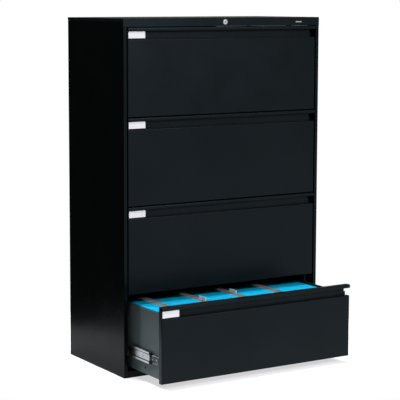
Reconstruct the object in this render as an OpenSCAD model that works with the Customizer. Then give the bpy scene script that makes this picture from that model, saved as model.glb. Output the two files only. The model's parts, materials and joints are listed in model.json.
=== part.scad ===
// Four-drawer lateral filing cabinet in folded steel sheet, with telescopic
// slides, a centre lock with its locking bar, levelling glides and the hanging
// folders of the bottom drawer, which stands open.
// X runs to the right, Y to the back and Z up.
// The origin is on the floor, at the centre of the case's footprint.

/* [Case] */
// Width of the case over its side panels
case_w = 914; // [760:1:1070]
// Depth of the case from its front edge to its back panel
case_d = 457; // [457:1:520]
// Height of the case from the floor to its top panel
case_h = 1385; // [1340:1:1450]
// Thickness of the folded sheet
sheet = 1.2; // [0.8:0.1:1.3]
// Outer radius of a fold in the sheet
fold_r = 2; // [1.5:0.1:3]
// Width of the side panels' front flanges
post_w = 15.5; // [13:0.5:18]
// Height of the header over the top drawer
header_h = 32.5; // [32:0.5:36]
// Height of the top panel's side and back lips
top_lip_h = 12; // [8:0.5:20]
// Height of the base under the bottom drawer
base_h = 27; // [27:0.5:36]

/* [Drawers] */
// Gap above and below a drawer front
front_gap = 3; // [2:0.5:5]
// Gap above the bottom drawer's front
bottom_gap = 4; // [2:0.5:6]
// Gap between a drawer front and the front flange at its side
side_gap = 4; // [2:0.5:5]
// Height of the bottom drawer's front, lip included
bottom_front_h = 291.5; // [287:0.5:330]
// Depth of a drawer front from its face to its back edge
front_d = 20; // [18:0.5:20.5]
// Height of the full-width pull from its shelf to the top of its lip
pull_h = 45; // [40:1:50]
// Height of the pull's lip
lip_h = 14; // [12:0.5:16]
// Radius of the lip's rounded edges
lip_r = 3.5; // [2:0.5:4]
// How far the lip stands proud of the face
lip_proud = 4; // [2:0.5:6]
// How far the pull's back wall stops short of the right end
pull_end = 14; // [8:1:20]
// Gap between the case's outer side and a drawer box's side
box_inset = 38; // [36:0.5:44]
// Depth of a drawer box
box_d = 396; // [390:1:400]
// Height of a drawer box
box_h = 252; // [248:1:254]
// Distance from the top of the lip down to the top of the box
box_drop = 33; // [30:1:36]
// How far the bottom drawer stands open
bottom_open = 250; // [0:0.5:400]
// Travel of a drawer's middle slide members for 1 mm of the drawer's own
middle_share = 0.72; // [0.5:0.01:0.75]

/* [Slides] */
// Height of a slide's case member
slide_h = 49; // [47:1:54]
// Distance from the top of the lip down to the slide's centre line
slide_drop = 213.5; // [200:0.5:220]
// Length of a slide's case member
slide_len = 415; // [400:1:420]

/* [Lock] */
// Diameter of the lock's visible ring
lock_ring_d = 20; // [20:0.5:24]
// Diameter of the turning plug
plug_d = 15; // [12:0.5:16]
// Radius of the cam pin's circle
cam_r = 10; // [9:0.5:10]

/* [Glides] */
// Diameter of a levelling glide's foot
glide_foot_d = 28; // [24:1:30]
// Diameter of a levelling glide's stem
glide_stem_d = 10; // [8:1:10]

/* [Folders] */
// Length of the hanging folders between the rails
folder_len = 302; // [290:1:302]
// Height of the hanging folders
folder_h = 235; // [200:1:240]
// Width of a group of plain divider folders
divider_w = 36; // [30:1:60]
// Spacing of the divider groups
divider_pitch = 176; // [150:1:184]

/* [Hidden] */
$fn = 64;
drawer_count = 4;
half_w = case_w / 2;
front_y = -case_d / 2;
back_y = case_d / 2;
seam = 0.3;
fit_gap = 0.1;

// Rows of drawers, numbered 1 at the top to 4 at the bottom.
front_w = case_w - 2 * (post_w + side_gap);
top_lip_z = case_h - header_h - front_gap;
bottom_lip_z = base_h + front_gap + bottom_front_h;
row_pitch = (top_lip_z - bottom_lip_z - bottom_gap + front_gap) / (drawer_count - 1);
function lip_z(n) = n == drawer_count ? bottom_lip_z : top_lip_z - (n - 1) * row_pitch;
function front_h(n) = n == drawer_count ? bottom_front_h : row_pitch - front_gap;
function open_by(n) = n == drawer_count ? bottom_open : 0;

// Drawer box, with its inner front just behind the drawer front.
liner_y = front_y + front_d + 0.8;
box_y = liner_y + sheet + fit_gap;
box_x = half_w - box_inset;
box_sheet = 1;

// Hanging rails, measured from the top of the box.
rail_t = 3;
rail_h = 16;
rail_drop = 3;
front_rail_y = box_y + 10;
rear_rail_y = front_rail_y + rail_t + folder_len + 1;
folder_y = front_rail_y + rail_t + 0.5;
folder_rise = 5;

// Slide members, measured outwards from the drawer box's side.
upright_x = box_x + 13;
upright_t = 1.5;
upright_d = 30;
front_upright_y = front_y + 48;
rear_upright_y = back_y - 58;
member_t = 1.2;
middle_h = slide_h - 4;
drawer_member_h = slide_h - 19;
race_h = 7.4;
race_x = box_x + 9.8;
sunk_web_x = box_x + 7.6;
ball_x = [box_x + 2, box_x + 7.2];
slide_y = front_y + 24.5;
drawer_member_y = front_y + 50.5;
retainer_y = front_y + 23.5;
retainer_len = 14.8;
middle_y = retainer_y + retainer_len + 0.2;
middle_len = 385;
ball_cage_len = 220;

// Lock, locking bar and the catches on the drawers.
lock_z = case_h - 16.5;
ring_proud = 1.9;
barrel_r = lock_ring_d / 2 - 1.5;
plug_play = 0.05;
cam_pin_r = 2;
cam_travel = 2 * cam_r * sin(45);
cam_pin_z = lock_z - cam_r * cos(45);
cam_y = front_y + 24;
link_y = front_y + 31.5;
link_t = 2;
link_bottom_z = lock_z - 18.5;
link_top_z = lock_z + 6.5;
bar_x = upright_x + 13;
bar_y = front_y + 24.5;
bar_w = 16;
bar_t = 2;
lift_pin_x = bar_x - 15;
lift_pin_z = lock_z - 9.5;
lift_pin_r = 2.5;
lift_play = 0.4;
catch_drop = 120;
catch_x = box_x + 5;
catch_w = 12;
catch_d = 16.4;
catch_h = 10;
catch_t = 1.5;
finger_lift = 16.5;
finger_h = 12;
finger_t = 4;
guide_zs = [300, 700, 1100];

// Levelling glides at the corners of the base.
glide_x = half_w - 42;
glide_y = back_y - 46.5;
foot_h = 6;
nut_h = 7;
bracket_z = 9;
bracket_t = 2;

// A group of plain folders between each pair of blue ones.
divider_count = 4;
first_divider_x = 18 - divider_pitch * 2;
folders_right_x = box_x - 41;

// Colours of the finishes.
black_paint = [0.13, 0.14, 0.15];
dark_grey_paint = [0.27, 0.29, 0.31];
zinc = [0.72, 0.73, 0.74];
chrome_plate = [0.85, 0.85, 0.87];
black_plastic = [0.05, 0.05, 0.05];
white_card = [0.95, 0.95, 0.97];
folder_blue = [0.0, 0.6, 0.85];
divider_grey = [0.5, 0.48, 0.45];

// ---- shared shapes ----

// A box between two values along each axis.
module block(x, y, z) {
    translate([x[0], y[0], z[0]])
        cube([x[1] - x[0], y[1] - y[0], z[1] - z[0]]);
}

// A rectangle between two values along each axis.
module patch(x, y) {
    translate([x[0], y[0]])
        square([x[1] - x[0], y[1] - y[0]]);
}

// A quarter of a fold in sheet, from an angle to 90 degrees past it.
module fold(centre, angle, r = fold_r) {
    translate(centre)
        intersection() {
            difference() {
                circle(r);
                circle(r - sheet);
            }
            rotate(angle)
                square(2 * r);
        }
}

// A Y-Z outline drawn out along X, between two values of X.
module along_x(x) {
    translate([x[0], 0, 0])
        rotate([90, 0, 90])
            linear_extrude(x[1] - x[0])
                children();
}

// An X-Z outline drawn out along Y, between two values of Y.
module along_y(y) {
    translate([0, y[1], 0])
        rotate([90, 0, 0])
            linear_extrude(y[1] - y[0])
                children();
}

// The children and their mirror image across the middle of the case.
module both_sides() {
    children();
    mirror([1, 0, 0])
        children();
}

// A round bar along Y, between two values of Y.
module round_y(r, x, y, z) {
    translate([x, y[1], z])
        rotate([90, 0, 0])
            cylinder(h = y[1] - y[0], r = r);
}

// Drawer n's pieces, moved out to where that drawer stands.
module in_drawer(n) {
    translate([0, -open_by(n), 0])
        children();
}

// ---- case ----

module side_panel_outline() {
    edge_x = -half_w + post_w;
    patch([-half_w, -half_w + sheet], [front_y + fold_r, back_y - fold_r]);
    fold([-half_w + fold_r, front_y + fold_r], 180);
    patch([-half_w + fold_r, edge_x - fold_r], [front_y, front_y + sheet]);
    fold([edge_x - fold_r, front_y + fold_r], 270);
    patch([edge_x - sheet, edge_x], [front_y + fold_r, front_y + 22]);
    fold([-half_w + fold_r, back_y - fold_r], 90);
    patch([-half_w + fold_r, -half_w + 12], [back_y - sheet, back_y]);
}

module side_panel() {
    top_z = case_h - top_lip_h - seam;
    post_top_z = case_h - header_h - seam;
    color(black_paint) {
        difference() {
            linear_extrude(top_z)
                side_panel_outline();
            block([-half_w - 1, -half_w + post_w + 1], [front_y - 1, front_y + sheet + seam],
                  [post_top_z, top_z + 1]);
            block([-half_w + sheet, -half_w + post_w + 1], [front_y - 1, front_y + 30],
                  [post_top_z, top_z + 1]);
        }
        block([-half_w + sheet, -half_w + 2 * sheet], [front_y + 40, back_y - 20],
              [top_z - 20, case_h - sheet - seam]);
    }
}

module side_panel_left() {
    side_panel();
}

module side_panel_right() {
    mirror([1, 0, 0])
        side_panel();
}

module back_panel() {
    panel_x = half_w - 12 - seam;
    top_z = case_h - top_lip_h - seam;
    tuck_y = back_y - sheet - fit_gap;
    color(black_paint) {
        block([-panel_x, panel_x], [back_y - sheet, back_y], [0, top_z]);
        both_sides()
            block([panel_x - 8, half_w - 3], [tuck_y - sheet, tuck_y], [base_h + 1, top_z]);
        both_sides()
            block([panel_x - 8, panel_x], [tuck_y - sheet, back_y], [base_h + 1, top_z]);
    }
}

// A panel's outline with its two upper corners rounded, hanging below zero.
module rounded_top_outline(w, h) {
    patch([-w / 2, w / 2], [-h, -fold_r]);
    patch([-w / 2 + fold_r, w / 2 - fold_r], [-h, 0]);
    for (side = [-1, 1])
        translate([side * (w / 2 - fold_r), -fold_r])
            circle(fold_r);
}

module top_panel() {
    header_z = case_h - header_h;
    color(black_paint) {
        difference() {
            translate([0, 0, case_h])
                intersection() {
                    along_y([front_y, back_y])
                        rounded_top_outline(case_w, header_h);
                    along_x([-half_w, half_w])
                        rounded_top_outline(case_d, header_h);
                }
            block([-half_w + sheet, half_w - sheet], [front_y + sheet, back_y - sheet],
                  [header_z - 1, case_h - sheet]);
            block([-half_w - 1, half_w + 1], [front_y + sheet, back_y + 1],
                  [header_z - 1, case_h - top_lip_h]);
            round_y(barrel_r + fit_gap, 0, [front_y - 1, front_y + sheet + 1], lock_z);
        }
        block([-half_w + post_w + seam, half_w - post_w - seam], [front_y + sheet / 2, front_y + 18],
              [header_z, header_z + sheet]);
    }
}

module base_frame() {
    rail_x = half_w - post_w - seam;
    ring_x = half_w - sheet - seam;
    ring_y = back_y - sheet - seam;
    side_y = front_y + 22.5;
    front_flange_y = front_y + 30;
    flange = 25;
    color(black_paint) {
        along_x([-rail_x, rail_x]) {
            patch([front_y, front_flange_y], [0, sheet]);
            patch([front_y, front_y + sheet], [0, base_h - fold_r]);
            fold([front_y + fold_r, base_h - fold_r], 90);
            patch([front_y + fold_r, front_flange_y], [base_h - sheet, base_h]);
        }
        difference() {
            block([-ring_x, ring_x], [side_y, ring_y], [0, base_h - sheet - fit_gap]);
            block([-ring_x + sheet, ring_x - sheet], [side_y - 1, ring_y - sheet], [sheet, base_h]);
            block([-ring_x + flange, ring_x - flange], [front_flange_y, ring_y - flange], [-1, base_h]);
        }
    }
}

module base_pan() {
    pan_x = half_w - sheet - seam;
    color(black_paint)
        block([-pan_x, pan_x], [front_y + 30 + seam, back_y - sheet - seam], [base_h - sheet, base_h]);
}

module counterweight() {
    color(dark_grey_paint)
        block([-380, 380], [60, back_y - 28.5], [7, base_h - sheet - fit_gap]);
}

module upright(y) {
    block([upright_x, upright_x + upright_t], [y, y + upright_d],
          [base_h + fit_gap, case_h - sheet - fit_gap]);
    for (flange_y = [y, y + upright_d - upright_t])
        block([upright_x, half_w - 2 * sheet - fit_gap], [flange_y, flange_y + upright_t],
              [base_h + fit_gap, case_h - sheet - fit_gap]);
}

module uprights() {
    color(dark_grey_paint)
        both_sides() {
            upright(front_upright_y);
            upright(rear_upright_y);
        }
}

// ---- slides ----

// A rolled slide member's outline: a web and two flanges.
module member_outline(web, tip, h) {
    patch(web, [-h / 2, h / 2]);
    flange = [min(web[0], tip), max(web[1], tip)];
    for (z = [-h / 2, h / 2 - member_t])
        patch(flange, [z, z + member_t]);
}

module slide_case_members() {
    web_x = upright_x - member_t;
    color(zinc)
        both_sides()
            for (n = [1:drawer_count])
                translate([0, 0, lip_z(n) - slide_drop])
                    along_y([slide_y, slide_y + slide_len])
                        member_outline([web_x, upright_x], box_x + 4, slide_h);
}

// The middle member's outline: a sunk web between two proud ball races.
module middle_outline() {
    race_z = middle_h / 2 - race_h;
    patch([sunk_web_x, sunk_web_x + member_t], [-race_z - member_t, race_z + member_t]);
    for (z = [-race_z - member_t, race_z])
        patch([sunk_web_x, race_x], [z, z + member_t]);
    for (z = [-middle_h / 2, race_z])
        patch([race_x, race_x + member_t], [z, z + race_h]);
    for (z = [-middle_h / 2, middle_h / 2 - member_t])
        patch([box_x + 3.3, race_x + member_t], [z, z + member_t]);
}

module slide_middle_members(n) {
    color(zinc)
        translate([0, -middle_share * open_by(n), lip_z(n) - slide_drop])
            both_sides()
                difference() {
                    along_y([middle_y, middle_y + middle_len])
                        middle_outline();
                    translate([sunk_web_x - 1, middle_y + 48, 0])
                        rotate([0, 90, 0])
                            cylinder(h = member_t + 2, r = 3);
                }
}

// Two ball cages, above and below the drawer member, joined by a front plate.
module slide_retainers(n) {
    cage_z = [drawer_member_h / 2 + 0.6, middle_h / 2 - member_t - 0.3];
    color(black_plastic)
        translate([0, -middle_share * open_by(n), lip_z(n) - slide_drop])
            both_sides() {
                for (z = [cage_z[0], -cage_z[1]])
                    block(ball_x, [retainer_y, middle_y + ball_cage_len], [z, z + cage_z[1] - cage_z[0]]);
                block([ball_x[1], sunk_web_x + member_t], [retainer_y, retainer_y + retainer_len],
                      [-cage_z[1], cage_z[1]]);
            }
}

module slide_drawer_members(n) {
    color(zinc)
        in_drawer(n)
            translate([0, 0, lip_z(n) - slide_drop])
                both_sides()
                    along_y([drawer_member_y, box_y + box_d - 1])
                        member_outline([box_x + fit_gap, box_x + fit_gap + member_t], box_x + 6.8,
                                       drawer_member_h);
}

// ---- drawers ----

module lip_outline() {
    edge = lip_r - lip_proud;
    patch([-lip_proud, sheet - lip_proud], [-lip_h + lip_r, -lip_r]);
    fold([edge, -lip_r], 90, lip_r);
    fold([edge, -lip_h + lip_r], 180, lip_r);
    patch([edge, front_d], [-sheet, 0]);
    patch([edge, edge + 3], [-lip_h, -lip_h + sheet]);
}

// The lower face with its shelf and bottom flange, from the top of the lip.
module face_outline(h) {
    patch([0, sheet], [-h + fold_r, -pull_h - fold_r]);
    fold([fold_r, -h + fold_r], 180);
    fold([fold_r, -pull_h - fold_r], 90);
    patch([fold_r, front_d], [-h, -h + sheet]);
    patch([fold_r, front_d], [-pull_h - sheet, -pull_h]);
}

// A plan outline with its two front corners rounded.
module rounded_front_outline() {
    x = front_w / 2;
    patch([-x, x], [fold_r, front_d]);
    patch([-x + fold_r, x - fold_r], [0, front_d]);
    for (side = [-1, 1])
        translate([side * (x - fold_r), fold_r])
            circle(fold_r);
}

module drawer_front(n) {
    x = front_w / 2;
    h = front_h(n);
    color(black_paint)
        in_drawer(n)
            translate([0, front_y, lip_z(n)]) {
                intersection() {
                    union() {
                        along_x([-x, x])
                            face_outline(h);
                        both_sides()
                            block([x - sheet, x], [0, front_d], [-h, -pull_h]);
                    }
                    translate([0, 0, -h])
                        linear_extrude(h)
                            rounded_front_outline();
                }
                along_x([-x, x - pull_end])
                    patch([front_d - sheet, front_d], [-pull_h - sheet, 0]);
                along_x([-x, x])
                    lip_outline();
            }
}

module drawer_liner(n) {
    z = lip_z(n);
    catch_z = z - catch_drop;
    liner_x = front_w / 2 - 6;
    lip_y = liner_y + sheet + catch_d;
    color(dark_grey_paint)
        in_drawer(n) {
            block([-liner_x, liner_x], [liner_y, liner_y + sheet],
                  [z - front_h(n) + 4, z - box_drop + 3]);
            block([catch_x, catch_x + catch_w], [liner_y + sheet + fit_gap, lip_y],
                  [catch_z, catch_z + catch_t]);
            block([catch_x, catch_x + catch_w], [lip_y + fit_gap, lip_y + fit_gap + catch_t],
                  [catch_z, catch_z + catch_h]);
        }
}

// The drawer box's floor, sides and back, each a panel of its own.
module drawer_body(n) {
    z = lip_z(n) - box_drop;
    floor_z = z - box_h;
    rear_y = box_y + box_d;
    wall_z = floor_z + box_sheet + fit_gap;
    side_x = box_x - box_sheet;
    color(dark_grey_paint)
        in_drawer(n) {
            block([-box_x, box_x], [box_y, rear_y], [floor_z, floor_z + box_sheet]);
            block([-side_x + fit_gap, side_x - fit_gap], [rear_y - box_sheet, rear_y], [wall_z, z - 30]);
            both_sides()
                difference() {
                    block([side_x, box_x], [box_y, rear_y], [wall_z, z]);
                    translate([side_x - 1, box_y + 130, floor_z + 25])
                        rotate([0, 90, 0])
                            cylinder(h = box_sheet + 2, r = 5);
                    for (slot_z = [127, 186, 196])
                        block([side_x - 1, box_x + 1], [box_y + 20, box_y + 25],
                              [floor_z + slot_z, floor_z + slot_z + 4]);
                }
        }
}

module hang_rails(n) {
    top_z = lip_z(n) - box_drop - rail_drop;
    rail_x = box_x - box_sheet - fit_gap;
    color(zinc)
        in_drawer(n)
            for (y = [front_rail_y, rear_rail_y])
                block([-rail_x, rail_x], [y, y + rail_t], [top_z - rail_h, top_z]);
}

// A holder that fills the left end of the pull, with a lipped front pocket.
module label_holder(n) {
    x = [-front_w / 2 + fit_gap, -front_w / 2 + 79];
    y = [front_y + 1.4, front_y + front_d - sheet - fit_gap];
    z = [lip_z(n) - pull_h + fit_gap, lip_z(n) - lip_h - fit_gap];
    color(black_plastic)
        in_drawer(n)
            difference() {
                block(x, [front_y + 0.2, y[1]], z);
                block([x[0] + 1.2, x[1] - 1.2], [front_y - 1, y[0]], [z[0] + 4, z[1] + 1]);
                block([x[0] + 2, x[1] - 2], [y[0] + 2, y[1] + 1], [z[0] + 2, z[1] - 2]);
            }
}

module label_card(n) {
    x = [-front_w / 2 + 4, -front_w / 2 + 76.3];
    color(white_card)
        in_drawer(n)
            block(x, [front_y + 0.6, front_y + 1.3],
                  [lip_z(n) - pull_h + 4.6, lip_z(n) - lip_h - 1]);
}

// ---- lock ----

module lock_housing() {
    color(chrome_plate)
        difference() {
            union() {
                round_y(lock_ring_d / 2, 0, [front_y - ring_proud, front_y - fit_gap], lock_z);
                round_y(barrel_r, 0, [front_y - fit_gap, front_y + 21], lock_z);
                round_y(barrel_r + 3, 0, [front_y + sheet + fit_gap, front_y + 6], lock_z);
            }
            round_y(plug_d / 2, 0, [front_y - ring_proud - 1, front_y + 22], lock_z);
        }
}

module lock_plug() {
    plug_r = plug_d / 2 - plug_play;
    color(chrome_plate) {
        difference() {
            round_y(plug_r, 0, [front_y - ring_proud - 0.6, front_y + 22], lock_z);
            block([-0.9, 0.9], [front_y - ring_proud - 2, front_y + 10], [lock_z - 4.5, lock_z + 4.5]);
        }
        round_y(3, 0, [front_y + 22, front_y + 28], lock_z);
        round_y(4.5, 0, [cam_y + 2.2 + fit_gap, front_y + 28], lock_z);
    }
}

module lock_cam() {
    color(zinc)
        translate([0, 0, lock_z])
            rotate([0, 45, 0]) {
                difference() {
                    hull() {
                        round_y(8, 0, [cam_y, cam_y + 2], 0);
                        round_y(4, 0, [cam_y, cam_y + 2], -cam_r);
                    }
                    round_y(3 + fit_gap, 0, [cam_y - 1, cam_y + 3], 0);
                }
                round_y(cam_pin_r, 0, [cam_y + 2, link_y + link_t + 1.5], -cam_r);
            }
}

// A flat strip behind the header that the cam slides to the right.
module lock_link() {
    slot_w = 2 * (cam_pin_r + 0.5);
    color(zinc) {
        difference() {
            block([-20, lift_pin_x + 4], [link_y, link_y + link_t], [link_bottom_z, link_top_z]);
            block([-cam_travel / 2 - slot_w / 2, -cam_travel / 2 + slot_w / 2],
                  [link_y - 1, link_y + link_t + 1],
                  [lock_z - cam_r - slot_w / 2, lock_z - cam_r * cos(45) + slot_w / 2]);
            block([-cam_travel - 6, 7], [link_y - 1, link_y + link_t + 1],
                  [lock_z - 5.5, link_top_z + 1]);
        }
        round_y(lift_pin_r, lift_pin_x, [bar_y - 1, link_y], lift_pin_z);
    }
}

// The locking bar's slanted slot, from the pin's start to its end.
module lift_slot() {
    hull()
        for (step = [0, cam_travel])
            round_y(lift_pin_r + lift_play, lift_pin_x + step, [bar_y - 3, bar_y + 4], lift_pin_z + step);
}

module lock_bar() {
    tab_x = [lift_pin_x - 6, lift_pin_x + cam_travel + 6];
    tab_z = [lift_pin_z - 6, lift_pin_z + cam_travel + 5];
    lowest_z = lip_z(drawer_count) - catch_drop;
    color(dark_grey_paint) {
        block([bar_x, bar_x + bar_t], [bar_y + fit_gap, bar_y + bar_w], [lowest_z, tab_z[0] + 5]);
        difference() {
            block([tab_x[0], tab_x[1]], [bar_y - bar_t, bar_y], tab_z);
            lift_slot();
        }
        for (n = [1:drawer_count])
            translate([0, 0, lip_z(n) - catch_drop + finger_lift])
                block([catch_x + 1, bar_x - fit_gap], [bar_y + 2, bar_y + 2 + finger_t], [0, finger_h]);
    }
}

module lock_guides() {
    guide_x = [bar_x - 1.5, half_w - 2 * sheet - fit_gap];
    color(dark_grey_paint) {
        for (z = guide_zs)
            translate([0, 0, z]) {
                block([bar_x + bar_t + 1, guide_x[1]], [bar_y - 3.5, bar_y + bar_w + 3.5], [0, 20]);
                for (y = [bar_y - 3.5, bar_y + bar_w + 1])
                    block([guide_x[0], guide_x[1]], [y, y + 2.5], [0, 20]);
            }
        for (x = [120, 320])
            translate([x, 0, 0]) {
                block([0, 20], [link_y - 3, link_y - 1], [link_bottom_z - 4, case_h - sheet - fit_gap]);
                block([0, 20], [link_y + link_t + 1, link_y + link_t + 3],
                      [link_bottom_z - 4, case_h - sheet - fit_gap]);
                block([0, 20], [link_y - 3, link_y + link_t + 3],
                      [link_bottom_z - 4, link_bottom_z - 0.5]);
            }
    }
}

module badge_plate() {
    color(zinc)
        block([339.5, 369], [front_y - 0.9, front_y - fit_gap], [lock_z - 4.5, lock_z + 0.5]);
}

// ---- glides ----

module glide(x_side, y_side) {
    color(black_plastic)
        translate([x_side * glide_x, y_side * glide_y, 0]) {
            cylinder(h = 3, r = glide_foot_d / 2);
            translate([0, 0, 3])
                cylinder(h = foot_h - 3, r = glide_foot_d / 2 - 4);
            cylinder(h = base_h - sheet - 0.9, r = glide_stem_d / 2);
        }
}

module glide_front_left() {
    glide(-1, -1);
}

module glide_front_right() {
    glide(1, -1);
}

module glide_rear_left() {
    glide(-1, 1);
}

module glide_rear_right() {
    glide(1, 1);
}

module glide_brackets() {
    wall_x = half_w - 2 * sheet - seam - fit_gap;
    color(zinc)
        for (x_side = [-1, 1])
            for (y_side = [-1, 1])
                scale([x_side, 1, 1])
                    translate([glide_x, y_side * glide_y, bracket_z])
                        difference() {
                            union() {
                                block([-18, wall_x - glide_x], [-18, 18], [0, bracket_t]);
                                cylinder(h = bracket_t + nut_h, r = 9, $fn = 6);
                            }
                            translate([0, 0, -1])
                                cylinder(h = 20, r = glide_stem_d / 2 + 0.05);
                        }
}

// ---- contents of the bottom drawer ----

folder_top_z = lip_z(drawer_count) - box_drop + folder_rise;

module folder_block(x) {
    block(x, [folder_y, folder_y + folder_len], [folder_top_z - folder_h, folder_top_z]);
}

function divider_x(i) = first_divider_x + i * divider_pitch;

module hanging_folders() {
    left = -box_x + box_sheet + 1.5;
    color(folder_blue)
        in_drawer(drawer_count) {
            folder_block([left, divider_x(0) - divider_w / 2 - seam]);
            for (i = [1:divider_count - 1])
                folder_block([divider_x(i - 1) + divider_w / 2 + seam, divider_x(i) - divider_w / 2 - seam]);
            folder_block([divider_x(divider_count - 1) + divider_w / 2 + seam, folders_right_x]);
        }
}

module divider_folders() {
    color(divider_grey)
        in_drawer(drawer_count)
            for (i = [0:divider_count - 1])
                folder_block([divider_x(i) - divider_w / 2, divider_x(i) + divider_w / 2]);
}

module index_tabs() {
    color(white_card)
        in_drawer(drawer_count)
            for (place = [[divider_x(1) - 3, folder_y + 96], [divider_x(2) - 2, folder_y + 150]])
                translate([place[0], place[1], folder_top_z + fit_gap])
                    cube([1.5, 50, 15]);
}

// ---- the nodes ----

side_panel_left();
side_panel_right();
back_panel();
top_panel();
base_frame();
base_pan();
counterweight();
uprights();
slide_case_members();
lock_housing();
lock_guides();
badge_plate();
glide_brackets();
lock_plug();
lock_cam();
lock_link();
lock_bar();
glide_front_left();
glide_front_right();
glide_rear_left();
glide_rear_right();
for (n = [1:drawer_count]) {
    drawer_front(n);
    drawer_liner(n);
    drawer_body(n);
    hang_rails(n);
    label_holder(n);
    label_card(n);
    slide_drawer_members(n);
    slide_middle_members(n);
    slide_retainers(n);
}
hanging_folders();
divider_folders();
index_tabs();
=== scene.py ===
"""The looks of the lateral filing cabinet: black powder coat, zinc slides, a chrome lock and the
hanging folders of the open bottom drawer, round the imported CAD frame."""

import json
import math
import random

import bmesh
import bpy
from mathutils import Matrix, Vector


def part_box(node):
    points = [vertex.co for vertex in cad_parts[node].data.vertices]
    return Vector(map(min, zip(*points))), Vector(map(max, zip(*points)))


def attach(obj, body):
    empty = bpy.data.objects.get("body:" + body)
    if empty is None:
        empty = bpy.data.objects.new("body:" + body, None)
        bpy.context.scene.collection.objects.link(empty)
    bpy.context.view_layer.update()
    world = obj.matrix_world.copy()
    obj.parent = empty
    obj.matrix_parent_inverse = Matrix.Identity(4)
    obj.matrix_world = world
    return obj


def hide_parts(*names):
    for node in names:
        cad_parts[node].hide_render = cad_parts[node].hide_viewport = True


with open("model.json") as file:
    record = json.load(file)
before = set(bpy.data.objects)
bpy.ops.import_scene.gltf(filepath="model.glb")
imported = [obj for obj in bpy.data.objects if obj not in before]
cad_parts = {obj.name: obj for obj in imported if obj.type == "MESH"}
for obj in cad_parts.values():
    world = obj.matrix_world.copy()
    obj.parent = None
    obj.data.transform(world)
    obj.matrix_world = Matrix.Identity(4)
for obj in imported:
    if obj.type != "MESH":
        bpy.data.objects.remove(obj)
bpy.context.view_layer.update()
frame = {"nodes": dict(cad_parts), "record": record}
random.seed(11)

MM = 0.001
DRAWERS = (1, 2, 3, 4)
OPEN_DRAWER = 4


# ---- the camera and the studio ----

CAMERA_PLACE = (-3.0925, -4.9584, 1.4444)
CAMERA_YAW = math.radians(30.965)
CAMERA_PITCH = math.radians(6.649)
CAMERA_LENS = 129.12
CAMERA_SHIFT = (0.0765, -0.0762)
SENSOR_WIDTH = 36
CLIP_START = 0.1
CLIP_END = 60

FLOOR_RADIUS = 0.95
FLOOR_SEGMENTS = 128
FLOOR_COLOUR = (0.455, 0.45, 0.46)
FLOOR_ROUGHNESS = 0.7
FLOOR_GLOSS = 0.1
FLOOR_GLOW = 0.6
FLOOR_GLOW_COLOUR = (1.0, 0.99, 1.0, 1.0)

WHITE = (1.0, 1.0, 1.0, 1.0)
COOL_WHITE = (0.96, 0.99, 1.0)
WORLD_COLOUR = (0.90, 0.97, 1.0, 1.0)
WORLD_STRENGTH = 0.035


def make_camera():
    data = bpy.data.cameras.new("camera")
    data.lens = CAMERA_LENS
    data.sensor_width = SENSOR_WIDTH
    data.shift_x, data.shift_y = CAMERA_SHIFT
    data.clip_start = CLIP_START
    data.clip_end = CLIP_END
    camera = bpy.data.objects.new("camera", data)
    bpy.context.scene.collection.objects.link(camera)
    camera.location = CAMERA_PLACE
    camera.rotation_euler = (math.pi / 2 - CAMERA_PITCH, 0, -CAMERA_YAW)
    bpy.context.scene.camera = camera


def area_light(name, place, target, size, power, colour=(1, 1, 1)):
    """A soft light, unseen itself, that looks at a target: its two sides in metres, its power in watts."""
    data = bpy.data.lights.new(name, "AREA")
    data.shape = "RECTANGLE"
    data.size, data.size_y = size
    data.energy = power
    data.color = colour
    light = bpy.data.objects.new(name, data)
    bpy.context.scene.collection.objects.link(light)
    light.location = place
    light.visible_camera = False
    light.rotation_euler = (Vector(target) - Vector(place)).to_track_quat("-Z", "Y").to_euler()


def make_world():
    """White where the camera sees it, and a dim cool grey for all other light."""
    world = bpy.data.worlds.new("studio")
    bpy.context.scene.world = world
    world.use_nodes = True
    tree = world.node_tree
    tree.nodes.clear()
    out = tree.nodes.new("ShaderNodeOutputWorld")
    seen = tree.nodes.new("ShaderNodeBackground")
    seen.inputs["Color"].default_value = WHITE
    seen.inputs["Strength"].default_value = 1.0
    around = tree.nodes.new("ShaderNodeBackground")
    around.inputs["Color"].default_value = WORLD_COLOUR
    around.inputs["Strength"].default_value = WORLD_STRENGTH
    path = tree.nodes.new("ShaderNodeLightPath")
    mix = tree.nodes.new("ShaderNodeMixShader")
    tree.links.new(path.outputs["Is Camera Ray"], mix.inputs["Fac"])
    tree.links.new(around.outputs["Background"], mix.inputs[1])
    tree.links.new(seen.outputs["Background"], mix.inputs[2])
    tree.links.new(mix.outputs["Shader"], out.inputs["Surface"])


def make_lights():
    """A small overhead light for the folders' shadow edge, soft ones round it for the sheets' sheen."""
    area_light("overhead", (0.0, -0.015, 7.0), (0, -0.015, 0), (0.06, 0.06), 385)
    area_light("key", (1.4, -4.9, 3.0), (0, -0.3, 0.5), (2.4, 1.6), 300)
    area_light("back_left", (-2.4, 2.95, 4.8), (-0.42, -0.35, 0.2), (0.5, 0.5), 340)
    area_light("high_left", (-1.6, -2.2, 5.5), (0, -0.4, 0.3), (0.6, 0.6), 160)
    area_light("front_low", (2.0, -3.4, -0.6), (0, -0.3, -0.6), (3.6, 2.2), 30, COOL_WHITE)
    area_light("front_high", (2.0, -3.4, 1.1), (0, -0.3, 1.1), (3.6, 1.2), 8.1, COOL_WHITE)
    area_light("back_right", (1.9, 3.2, 1.75), (0, 0.0, 1.4), (2.4, 1.3), 2.2)


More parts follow.
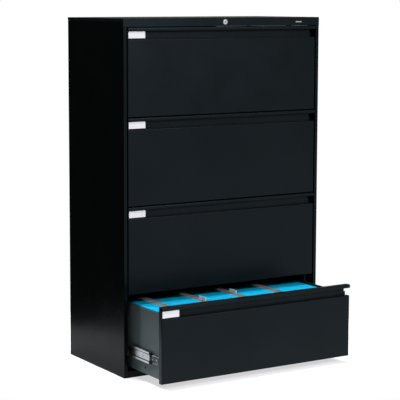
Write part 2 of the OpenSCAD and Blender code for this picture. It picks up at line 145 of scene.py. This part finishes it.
def make_floor():
    """A round pale floor that glows a little, so that it stays near white."""
    mesh = bpy.data.meshes.new("floor")
    work = bmesh.new()
    bmesh.ops.create_circle(work, cap_ends=True, segments=FLOOR_SEGMENTS, radius=FLOOR_RADIUS)
    work.to_mesh(mesh)
    work.free()
    floor = bpy.data.objects.new("floor", mesh)
    bpy.context.scene.collection.objects.link(floor)
    paint, shader, _ = new_material("floor_white", FLOOR_COLOUR, FLOOR_ROUGHNESS)
    shader.inputs["Specular IOR Level"].default_value = FLOOR_GLOSS
    shader.inputs["Emission Color"].default_value = FLOOR_GLOW_COLOUR
    shader.inputs["Emission Strength"].default_value = FLOOR_GLOW
    floor.data.materials.append(paint)


# ---- materials ----

COAT_TINT = (0.66, 0.89, 1.0, 1.0)
COAT_GLOSS_SPREAD = 0.03
MOULDED_GLOSS_SPREAD = 0.06
CARD_GLOSS_SPREAD = 0.08
CARD_GLOSS = 0.12
FRONT_FACING = (-0.9, -0.5)

def new_material(name, colour, roughness, metallic=0.0):
    """A Principled material: the material, its shader and its node tree."""
    made = bpy.data.materials.new(name)
    made.use_nodes = True
    tree = made.node_tree
    shader = tree.nodes["Principled BSDF"]
    shader.inputs["Base Color"].default_value = (*colour, 1)
    shader.inputs["Roughness"].default_value = roughness
    shader.inputs["Metallic"].default_value = metallic
    return made, shader, tree


def noise(tree, scale, detail=2.0, stretch=(1, 1, 1)):
    """Noise in object coordinates, scale in features for each metre. Returns its factor socket."""
    place = tree.nodes.new("ShaderNodeTexCoord")
    mapping = tree.nodes.new("ShaderNodeMapping")
    mapping.inputs["Scale"].default_value = stretch
    pattern = tree.nodes.new("ShaderNodeTexNoise")
    pattern.inputs["Scale"].default_value = scale
    pattern.inputs["Detail"].default_value = detail
    tree.links.new(place.outputs["Object"], mapping.inputs["Vector"])
    tree.links.new(mapping.outputs["Vector"], pattern.inputs["Vector"])
    return pattern.outputs["Fac"]


def ranged(tree, factor, low, high, out_low, out_high):
    """A factor mapped from one range to another."""
    node = tree.nodes.new("ShaderNodeMapRange")
    for name, value in (("From Min", low), ("From Max", high), ("To Min", out_low), ("To Max", out_high)):
        node.inputs[name].default_value = value
    tree.links.new(factor, node.inputs["Value"])
    return node.outputs["Result"]


def blended(tree, factor, first, second):
    """A colour between two, by a factor."""
    node = tree.nodes.new("ShaderNodeMix")
    node.data_type = "RGBA"
    node.inputs["A"].default_value = (*first, 1)
    node.inputs["B"].default_value = (*second, 1)
    tree.links.new(factor, node.inputs["Factor"])
    return node.outputs["Result"]


def bumped(tree, shader, *layers):
    """Bump from (height, strength, distance) layers, one over the other."""
    last = None
    for height, strength, distance in layers:
        node = tree.nodes.new("ShaderNodeBump")
        node.inputs["Strength"].default_value = strength
        node.inputs["Distance"].default_value = distance
        tree.links.new(height, node.inputs["Height"])
        if last is not None:
            tree.links.new(last, node.inputs["Normal"])
        last = node.outputs["Normal"]
    tree.links.new(last, shader.inputs["Normal"])


def powder_coat(name, dark, light, roughness, gloss=0.5, front_gloss=None):
    """Satin powder coat: a fine orange peel, and slight changes of tone and gloss over the sheet.

    The faces that look along -Y may have a gloss of their own.
    """
    made, shader, tree = new_material(name, dark, roughness)
    tone = ranged(tree, noise(tree, 3.0, 3.0), 0.35, 0.65, 0.0, 1.0)
    tree.links.new(blended(tree, tone, dark, light), shader.inputs["Base Color"])
    gloss_change = ranged(tree, noise(tree, 9.0, 4.0), 0.3, 0.7, roughness - COAT_GLOSS_SPREAD,
                          roughness + COAT_GLOSS_SPREAD)
    tree.links.new(gloss_change, shader.inputs["Roughness"])
    shader.inputs["Specular IOR Level"].default_value = gloss
    shader.inputs["Specular Tint"].default_value = COAT_TINT
    if front_gloss is not None:
        facing = tree.nodes.new("ShaderNodeTexCoord")
        parts = tree.nodes.new("ShaderNodeSeparateXYZ")
        tree.links.new(facing.outputs["Normal"], parts.inputs["Vector"])
        by_facing = ranged(tree, parts.outputs["Y"], *FRONT_FACING, front_gloss, gloss)
        tree.links.new(by_facing, shader.inputs["Specular IOR Level"])
    coarse_peel = (noise(tree, 420.0, 2.0), 0.10, 0.4 * MM)
    fine_peel = (noise(tree, 1500.0, 2.0), 0.12, 0.2 * MM)
    bumped(tree, shader, coarse_peel, fine_peel)
    return made


def plated(name, colour, roughness, stretch, grain):
    """Plated metal with a rolled or turned grain along one axis."""
    made, shader, tree = new_material(name, colour, roughness, 1.0)
    darker = tuple(c * 0.8 for c in colour)
    tree.links.new(
        blended(tree, ranged(tree, noise(tree, 30.0, 4.0), 0.35, 0.7, 0, 1), darker, colour),
        shader.inputs["Base Color"],
    )
    streaks = noise(tree, grain, 3.0, stretch)
    tree.links.new(
        ranged(tree, streaks, 0.3, 0.7, roughness * 0.8, roughness * 1.3), shader.inputs["Roughness"]
    )
    bumped(tree, shader, (streaks, 0.12, 0.2 * MM))
    return made


def moulded(name, colour, roughness, gloss=0.5):
    """Moulded plastic with a fine spark-eroded grain."""
    made, shader, tree = new_material(name, colour, roughness)
    shader.inputs["Specular IOR Level"].default_value = gloss
    lighter = tuple(min(1.0, c * 1.35 + 0.003) for c in colour)
    tree.links.new(blended(tree, noise(tree, 60.0, 3.0), colour, lighter), shader.inputs["Base Color"])
    tree.links.new(
        ranged(tree, noise(tree, 25.0), 0.3, 0.7, roughness - MOULDED_GLOSS_SPREAD,
               roughness + MOULDED_GLOSS_SPREAD),
        shader.inputs["Roughness"],
    )
    bumped(tree, shader, (noise(tree, 1400.0, 3.0), 0.25, 0.2 * MM))
    return made


def card(name, colour, shade, roughness=0.75):
    """Card or paper: fibres, a soft mottle and a little roughness of surface."""
    made, shader, tree = new_material(name, colour, roughness)
    fibres = noise(tree, 700.0, 4.0, (1.0, 0.25, 1.0))
    mottle = noise(tree, 40.0, 3.0)
    tree.links.new(
        blended(tree, ranged(tree, mottle, 0.3, 0.7, 0, 1), shade, colour), shader.inputs["Base Color"]
    )
    tree.links.new(
        ranged(tree, fibres, 0.3, 0.7, roughness - CARD_GLOSS_SPREAD, roughness + CARD_GLOSS_SPREAD),
        shader.inputs["Roughness"],
    )
    shader.inputs["Specular IOR Level"].default_value = CARD_GLOSS
    bumped(tree, shader, (fibres, 0.2, 0.2 * MM))
    return made


MATERIALS = {
    "case_paint": powder_coat(
        "black_powder_coat", (0.0006, 0.0013, 0.0012), (0.0011, 0.0019, 0.0018), 0.26, 0.05, 0.12
    ),
    "front_paint": powder_coat(
        "black_front_coat", (0.0017, 0.0026, 0.0032), (0.0026, 0.0037, 0.0044), 0.30, 0.11
    ),
    "box_paint": powder_coat(
        "dark_grey_enamel", (0.048, 0.064, 0.068), (0.060, 0.077, 0.081), 0.40, 0.12
    ),
    "structure_paint": powder_coat(
        "inner_grey_enamel", (0.012, 0.013, 0.014), (0.018, 0.019, 0.021), 0.5, 0.3
    ),
    "zinc": plated("bright_zinc", (0.36, 0.38, 0.405), 0.28, (1.0, 0.03, 1.0), 420.0),
    "chrome": plated("polished_chrome", (0.90, 0.91, 0.93), 0.10, (1.0, 0.2, 1.0), 300.0),
    "black_plastic": moulded("black_moulding", (0.004, 0.004, 0.0045), 0.55, 0.04),
    "label_card": card("white_card", (0.63, 0.625, 0.67), (0.60, 0.595, 0.64)),
    "folder_blue": card("blue_folder_card", (0.0, 0.365, 0.59), (0.0, 0.315, 0.53)),
    "folder_grey": card("grey_folder_card", (0.235, 0.22, 0.21), (0.185, 0.175, 0.165)),
    "tab_plastic": moulded("clear_white_tab", (0.93, 0.94, 0.95), 0.18, 1.0),
}

SLOT_OF_NODE = {row["node"]: row["material_slot"] for row in frame["record"]["subparts"]}

BROKEN_EDGE_NODES = ("lock_housing", "lock_plug", "badge_plate")
BROKEN_EDGE = 0.5 * MM
BROKEN_EDGE_SEGMENTS = 3


def dress_frame():
    """Each CAD node gets the material of its slot, and the lock and the badge a broken edge.

    The liners behind the drawer fronts are shown in the case's black, not in the box's grey that
    the record gives them, because the photograph shows black through the gap at a pull's end.
    """
    for name, obj in frame["nodes"].items():
        obj.data.materials.clear()
        slot = "case_paint" if name.startswith("drawer_liner") else SLOT_OF_NODE[name]
        obj.data.materials.append(MATERIALS[slot])
    for name in BROKEN_EDGE_NODES:
        edge = frame["nodes"][name].modifiers.new("edge", "BEVEL")
        edge.width = BROKEN_EDGE
        edge.segments = BROKEN_EDGE_SEGMENTS
        edge.limit_method = "ANGLE"


# ---- pieces ----


def mesh_piece(name, slot, body, work, node=None):
    """A bmesh as a piece that rides on a body, standing for a CAD node where one is named."""
    bmesh.ops.recalc_face_normals(work, faces=work.faces)
    mesh = bpy.data.meshes.new(name)
    work.to_mesh(mesh)
    work.free()
    mesh.materials.append(MATERIALS[slot])
    piece = bpy.data.objects.new(name, mesh)
    bpy.context.scene.collection.objects.link(piece)
    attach(piece, body)
    if node:
        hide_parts(node)
    return piece


def add_box(work, low, high):
    """A closed box between two corners."""
    size = [high[i] - low[i] for i in range(3)]
    centre = [(high[i] + low[i]) / 2 for i in range(3)]
    matrix = Matrix.Translation(centre) @ Matrix.Diagonal((*size, 1))
    bmesh.ops.create_cube(work, size=1, matrix=matrix)


def joined_rings(work, rings):
    """Faces from ring to ring, with a cap at each end. The sides are smooth."""
    count = len(rings[0])
    for first, second in zip(rings, rings[1:]):
        for k in range(count):
            face = work.faces.new((first[k], first[(k + 1) % count], second[(k + 1) % count], second[k]))
            face.smooth = True
    work.faces.new(rings[0])
    work.faces.new(rings[-1])


def add_rod(work, axis, start, length, centre, radius, sides=12):
    """A closed round rod along an axis, from start to start + length. Centre is (u, v) across it."""
    rings = []
    for along in (start, start + length):
        ring = []
        for k in range(sides):
            angle = 2 * math.pi * k / sides
            across = [centre[0] + radius * math.cos(angle), centre[1] + radius * math.sin(angle)]
            across.insert(axis, along)
            ring.append(work.verts.new(across))
        rings.append(ring)
    joined_rings(work, rings)


# the shares of its radius and of its height that a screw's head reaches, from its foot to its top
DOME_PROFILE = ((1.0, 0.0), (1.0, 0.35), (0.85, 0.75), (0.55, 1.0))


def add_dome(work, side, base_x, place, radius, height, sides=16):
    """A screw's low round head on a wall that faces along X. Side is -1 or 1, place is (y, z)."""
    rings = []
    for share, lift in DOME_PROFILE:
        ring = []
        for k in range(sides):
            angle = 2 * math.pi * k / sides
            y = place[0] + share * radius * math.cos(angle)
            z = place[1] + share * radius * math.sin(angle)
            ring.append(work.verts.new((base_x + side * lift * height, y, z)))
        rings.append(ring)
    joined_rings(work, rings)


def add_ribbon(work, path, thickness, y_low, y_high):
    """A bent sheet: an X-Z path given a thickness and drawn out along Y."""
    points = [Vector((x, 0, z)) for x, z in path]
    rings = []
    for i, point in enumerate(points):
        ahead = (points[min(i + 1, len(points) - 1)] - points[max(i - 1, 0)]).normalized()
        off = Vector((ahead.z, 0, -ahead.x)) * thickness / 2
        ring = []
        for shift, y in ((-off, y_low), (off, y_low), (off, y_high), (-off, y_high)):
            ring.append(work.verts.new(point + shift + Vector((0, y, 0))))
        rings.append(ring)
    for first, second in zip(rings, rings[1:]):
        for k in range(4):
            work.faces.new((first[k], first[(k + 1) % 4], second[(k + 1) % 4], second[k]))
    work.faces.new(rings[0])
    work.faces.new(rings[-1])


HEM_R = 1.6 * MM
HEM_END_GAP = 1 * MM


def drawer_hems():
    """The rolled upper edges of the drawer boxes' sides."""
    for n in DRAWERS:
        low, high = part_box(f"drawer_body_{n}")
        work = bmesh.new()
        length = high[1] - low[1] - 2 * HEM_END_GAP
        for x in (low[0] + HEM_R, high[0] - HEM_R):
            add_rod(work, 1, low[1] + HEM_END_GAP, length, (x, high[2]), HEM_R)
        mesh_piece(f"drawer_hem_{n}", "box_paint", f"drawer_{n}", work)


PLUG_T = 0.25 * MM
PLUG_W = 7 * MM
PLUG_H = 5 * MM
PLUG_SETBACK = 19 * MM
PLUG_HEIGHTS = (126.5 * MM, 185.5 * MM, 195.5 * MM)

# the pull strips are painted shade: black strips for the shadow line where each pull's back wall meets the
# shelf
STRIP_T = 1.2 * MM
STRIP_H = 3.4 * MM
STRIP_START_GAP = 0.3 * MM
PULL_END = 14 * MM


def side_plugs():
    """Blind plugs in the slots near the front of each drawer's left and right side."""
    for n in DRAWERS:
        low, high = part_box(f"drawer_body_{n}")
        work = bmesh.new()
        for side in (-1, 1):
            wall = sorted((side * high[0], side * (high[0] + PLUG_T)))
            for height in PLUG_HEIGHTS:
                y = low[1] + PLUG_SETBACK
                z = low[2] + height
                add_box(work, (wall[0], y, z), (wall[1], y + PLUG_W, z + PLUG_H))
        mesh_piece(f"side_plugs_{n}", "black_plastic", f"drawer_{n}", work)


def pull_shadow_strips():
    """A black strip along the foot of each pull's back wall, where the wall meets the shelf: painted shade,
    standing for the shadow line there.
    """
    for n in DRAWERS:
        _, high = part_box(f"drawer_front_{n}")
        holder_low, holder_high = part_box(f"label_holder_{n}")
        work = bmesh.new()
        wall_y = high[1] - STRIP_T
        add_box(
            work,
            (holder_high[0] + STRIP_START_GAP, wall_y - STRIP_T, holder_low[2]),
            (high[0] - PULL_END, wall_y, holder_low[2] + STRIP_H),
        )
        mesh_piece(f"pull_shadow_strip_{n}", "black_plastic", f"drawer_{n}", work)


# ---- the folders in the open drawer ----

DIVIDERS = 4
DIVIDER_WIDTH = 36 * MM
FOLDER_PITCH = 9.3 * MM
CARD_T = 0.7 * MM
RIDGE_R = 1.5 * MM
CARD_MARGIN = 2.5 * MM
RIDGE_PLAY = 0.5 * MM
FOLDER_LEAN = 0.8 * MM
FOLDER_SAG = 5.0 * MM
FOLD_STEPS = 6
RIDGE_SIDES = 10

HOOK_REACH = 7.5 * MM
HOOK_HALF_T = 0.6 * MM
HOOK_TIP = 2.2 * MM
HOOK_ROOT = 4 * MM
HOOK_TOP_GAP = 0.4 * MM
HOOK_DROP = 5 * MM

LEAF_PITCH = 2.5 * MM
LEAF_T = 1.3 * MM
LEAF_LEAN = 0.5 * MM
LEAF_FOOT_GAP = 2 * MM
LEAF_TOP_PLAY = (0.1 * MM, 1.2 * MM)
LEAF_END_PLAY = (0.5 * MM, 2.5 * MM)


def folder(card_work, hook_work, x, low, high, rail_z):
    """A hanging folder: card in a U, its two upper edges rolled round a flat rod with hooked ends."""
    gap = FOLDER_PITCH / 2
    ridge_z = high[2] - RIDGE_R - random.uniform(0, RIDGE_PLAY)
    lean = random.uniform(-FOLDER_LEAN, FOLDER_LEAN)
    sag = random.uniform(0, FOLDER_SAG)
    y_low, y_high = low[1] + CARD_MARGIN, high[1] - CARD_MARGIN
    fold_z = low[2] + sag + gap / 2
    path = [(x - gap / 2, ridge_z), (x - gap / 2 + lean, fold_z)]
    for step in range(1, FOLD_STEPS):
        angle = math.pi + math.pi * step / FOLD_STEPS
        path.append((x + lean + gap / 2 * math.cos(angle), fold_z + gap / 2 * math.sin(angle)))
    path += [(x + gap / 2 + lean, fold_z), (x + gap / 2, ridge_z)]
    add_ribbon(card_work, path, CARD_T, y_low, y_high)
    for edge_x in (x - gap / 2, x + gap / 2):
        add_rod(card_work, 1, y_low, y_high - y_low, (edge_x, ridge_z), RIDGE_R, RIDGE_SIDES)
        for y_end, way in ((y_low, -1), (y_high, 1)):
            add_hook(hook_work, edge_x, y_end, way, ridge_z, rail_z)


def add_hook(work, x, y, way, z, rail_z):
    """The end of a folder's rod, which rests on a rail and hooks down behind it."""
    left, right = x - HOOK_HALF_T, x + HOOK_HALF_T
    reach = y + way * (HOOK_REACH + CARD_MARGIN)
    tip = reach - way * HOOK_TIP
    inner = y - way * HOOK_ROOT
    add_box(work, (left, min(inner, reach), rail_z), (right, max(inner, reach), z - HOOK_TOP_GAP))
    add_box(work, (left, min(tip, reach), rail_z - HOOK_DROP), (right, max(tip, reach), rail_z))


def folder_groups():
    """The X ranges of the blue groups and of the divider groups between them."""
    low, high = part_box("hanging_folders")
    first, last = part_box("divider_folders")
    pitch = (last[0] - first[0] - DIVIDER_WIDTH) / (DIVIDERS - 1)
    dividers = []
    for i in range(DIVIDERS):
        start = first[0] + i * pitch
        dividers.append((start, start + DIVIDER_WIDTH))
    starts = [low[0]] + [end for _, end in dividers]
    ends = [start for start, _ in dividers] + [high[0]]
    return list(zip(starts, ends)), dividers


def folders():
    """The hanging folders in their groups, and the grey divider leaves between the groups."""
    body = f"drawer_{OPEN_DRAWER}"
    low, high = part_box("hanging_folders")
    blue, dividers = folder_groups()
    rail_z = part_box(f"hang_rails_{OPEN_DRAWER}")[1][2]
    card_work, hook_work = bmesh.new(), bmesh.new()
    for start, end in blue:
        count = int((end - start) / FOLDER_PITCH)
        pitch = (end - start) / count
        for i in range(count):
            folder(card_work, hook_work, start + pitch * (i + 0.5), low, high, rail_z)
    mesh_piece("blue_folders", "folder_blue", body, card_work, "hanging_folders")
    mesh_piece("folder_hooks", "zinc", body, hook_work)

    work = bmesh.new()
    for start, end in dividers:
        for i in range(int((end - start) / LEAF_PITCH)):
            x = start + LEAF_PITCH * (i + 0.5)
            lean = random.uniform(-LEAF_LEAN, LEAF_LEAN)
            top = high[2] - random.uniform(*LEAF_TOP_PLAY)
            margin = CARD_MARGIN + random.uniform(*LEAF_END_PLAY)
            path = [(x + lean, low[2] + LEAF_FOOT_GAP), (x, top)]
            add_ribbon(work, path, LEAF_T, low[1] + margin, high[1] - margin)
    mesh_piece("grey_folders", "folder_grey", body, work, "divider_folders")


TAB_LENGTH = 50 * MM
TAB_T = 1.5 * MM
SLEEVE_WALL = 0.3 * MM
SLEEVE_FOOT = 2.2 * MM
SLEEVE_RIM = 1.2 * MM
SLIP_MARGIN = 1.3 * MM
SLIP_FOOT_GAP = 0.5 * MM
RULE_T = 0.1 * MM
RULE_H = 0.9 * MM
RULE_MARGIN = 6 * MM
# each rule's height on the tab and its length, as shares of the whole
RULES = ((0.32, 0.62), (0.52, 0.8), (0.72, 0.5))


def index_tabs():
    """Two clear sleeves with a white slip in each, ruled with plain lines."""
    body = f"drawer_{OPEN_DRAWER}"
    low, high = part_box("index_tabs")
    corners = ((low[0], low[1]), (high[0] - TAB_T, high[1] - TAB_LENGTH))
    sleeves, slips, lines = bmesh.new(), bmesh.new(), bmesh.new()
    height = high[2] - low[2]
    rule_room = TAB_LENGTH - 2 * RULE_MARGIN
    for x, y in corners:
        far_x, far_y = x + TAB_T, y + TAB_LENGTH
        for face_x in (x, far_x - SLEEVE_WALL):
            add_box(sleeves, (face_x, y, low[2]), (face_x + SLEEVE_WALL, far_y, low[2] + SLEEVE_FOOT))
        for end_y in (y, far_y - SLEEVE_RIM):
            add_box(sleeves, (x, end_y, low[2]), (far_x, end_y + SLEEVE_RIM, high[2]))
        add_box(sleeves, (x, y, high[2] - SLEEVE_RIM), (far_x, far_y, high[2]))
        add_box(
            slips,
            (x + SLEEVE_WALL, y + SLIP_MARGIN, low[2] + SLIP_FOOT_GAP),
            (far_x - SLEEVE_WALL, far_y - SLIP_MARGIN, high[2] - SLIP_MARGIN),
        )
        for row, share in RULES:
            z = low[2] + row * height
            for face_x in (x + SLEEVE_WALL - RULE_T, far_x - SLEEVE_WALL):
                start = y + RULE_MARGIN
                add_box(lines, (face_x, start, z), (face_x + RULE_T, start + share * rule_room, z + RULE_H))
    mesh_piece("tab_sleeves", "tab_plastic", body, sleeves, "index_tabs")
    mesh_piece("tab_slips", "tab_plastic", body, slips)
    mesh_piece("tab_lines", "folder_grey", body, lines)


# ---- details of the slides ----

CAGE_PLATE_T = 1.2 * MM
CAGE_FRONT_GAP = 1 * MM
# how far in from the cage's outer face its bars run, and how far they start from its mid height
BAR_IN = 6.8 * MM
BAR_OUT = 1.6 * MM
BAR_START = 15.6 * MM
EAR_R = 5.6 * MM
NECK_START = 3 * MM
NECK_END = 9 * MM
NECK_HALF_H = 14 * MM
ROUND_SIDES = 24

LEVER_R = 4.2 * MM
LEVER_OFFSET = 2.4 * MM

# the dark strips in the middle members, above and below their mid height: painted shade, for the shadow
# lines at the members' steps
SHADE_STRIP_SINK = 2.2 * MM
SHADE_STRIP_T = 0.9 * MM
SHADE_STRIP_START = 12.2 * MM
SHADE_STRIP_END = 14.8 * MM
SHADE_STRIP_END_GAP = 0.5 * MM

WEB_DEPTH = 5.5 * MM
SCREW_R = 4.2 * MM
SCREW_H = 1.8 * MM
SCREW_PLACES = (14 * MM, 46 * MM, 150 * MM, 330 * MM)
# painted shade: dark grey plates over the front ends of the drawer members' webs, which lie sunk
SHADE_PLATE_T = 1.4 * MM
SHADE_PLATE_LENGTH = 34 * MM
SHADE_PLATE_HALF_H = 10 * MM
SHADE_PLATE_FRONT_GAP = 1 * MM


def add_cage(cages, strips, side, n, z):
    """One side's ball cage, and the dark strips of painted shade at the steps of the middle member that it
    runs in.
    """
    low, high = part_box(f"slide_retainers_{n}")
    middle_low, middle_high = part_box(f"slide_middle_members_{n}")
    outer = side * high[0]
    bar_out = outer - side * BAR_OUT
    bar_x = sorted((outer - side * BAR_IN, bar_out))
    sunk = side * (middle_high[0] - SHADE_STRIP_SINK)
    strip_x = sorted((sunk, sunk + side * SHADE_STRIP_T))
    strip_y = (middle_low[1] + SHADE_STRIP_END_GAP, middle_high[1] - SHADE_STRIP_END_GAP)
    for way in (-1, 1):
        strip_z = sorted((z + way * SHADE_STRIP_START, z + way * SHADE_STRIP_END))
        add_box(strips, (strip_x[0], strip_y[0], strip_z[0]), (strip_x[1], strip_y[1], strip_z[1]))
        bar_z = sorted((z + way * BAR_START, z + way * (high[2] - z)))
        add_box(cages, (bar_x[0], low[1] + CAGE_FRONT_GAP, bar_z[0]), (bar_x[1], high[1], bar_z[1]))
        ear = (low[1] + EAR_R, z + way * (high[2] - z - EAR_R))
        add_rod(cages, 0, min(bar_out, outer), abs(outer - bar_out), ear, EAR_R, ROUND_SIDES)
    neck_x = sorted((outer - side * CAGE_PLATE_T, bar_out))
    add_box(
        cages,
        (neck_x[0], low[1] + NECK_START, z - NECK_HALF_H),
        (neck_x[1], low[1] + NECK_END, z + NECK_HALF_H),
    )


def add_lever(levers, side, n, z):
    """One side's release lever: two round pads, one over the other, at the cage's front end."""
    low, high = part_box(f"slide_retainers_{n}")
    outer = side * high[0]
    lever_x = sorted((outer - side * CAGE_PLATE_T, outer))
    for offset in (LEVER_OFFSET, -LEVER_OFFSET):
        centre = (low[1] + EAR_R, z + offset)
        add_rod(levers, 0, lever_x[0], lever_x[1] - lever_x[0], centre, LEVER_R, ROUND_SIDES)


def add_member_fittings(screws, shade_plates, side, n, z):
    """The screws in one side's drawer member, and a dark grey plate over its web at the front end: painted
    shade where that end of the member lies sunk.
    """
    low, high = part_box(f"slide_drawer_members_{n}")
    web = side * (high[0] - WEB_DEPTH)
    for along in SCREW_PLACES:
        add_dome(screws, side, web, (low[1] + along, z), SCREW_R, SCREW_H)
    shade_plate_x = sorted((web, web + side * SHADE_PLATE_T))
    shade_plate_y = low[1] + SHADE_PLATE_FRONT_GAP
    add_box(
        shade_plates,
        (shade_plate_x[0], shade_plate_y, z - SHADE_PLATE_HALF_H),
        (shade_plate_x[1], shade_plate_y + SHADE_PLATE_LENGTH, z + SHADE_PLATE_HALF_H),
    )


def slide_details():
    """The small parts of every drawer's slides, left and right in one piece of each kind."""
    for n in DRAWERS:
        low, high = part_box(f"slide_retainers_{n}")
        z = (low[2] + high[2]) / 2
        cages, levers, screws, strips, shade_plates = [bmesh.new() for _ in range(5)]
        for side in (-1, 1):
            add_cage(cages, strips, side, n, z)
            add_lever(levers, side, n, z)
            add_member_fittings(screws, shade_plates, side, n, z)
        mesh_piece(f"ball_cages_{n}", "black_plastic", f"slide_{n}", cages, f"slide_retainers_{n}")
        mesh_piece(f"slide_levers_{n}", "box_paint", f"slide_{n}", levers)
        mesh_piece(f"slide_screws_{n}", "zinc", f"drawer_{n}", screws)
        # the dark strips are painted shade, not parts of the slide
        mesh_piece(f"slide_shade_strips_{n}", "black_plastic", f"slide_{n}", strips)
        mesh_piece(f"slide_latches_{n}", "box_paint", f"drawer_{n}", shade_plates)


bpy.context.scene.view_settings.view_transform = "Standard"
make_camera()
make_world()
make_lights()
make_floor()
dress_frame()
drawer_hems()
pull_shadow_strips()
side_plugs()
folders()
index_tabs()
slide_details()
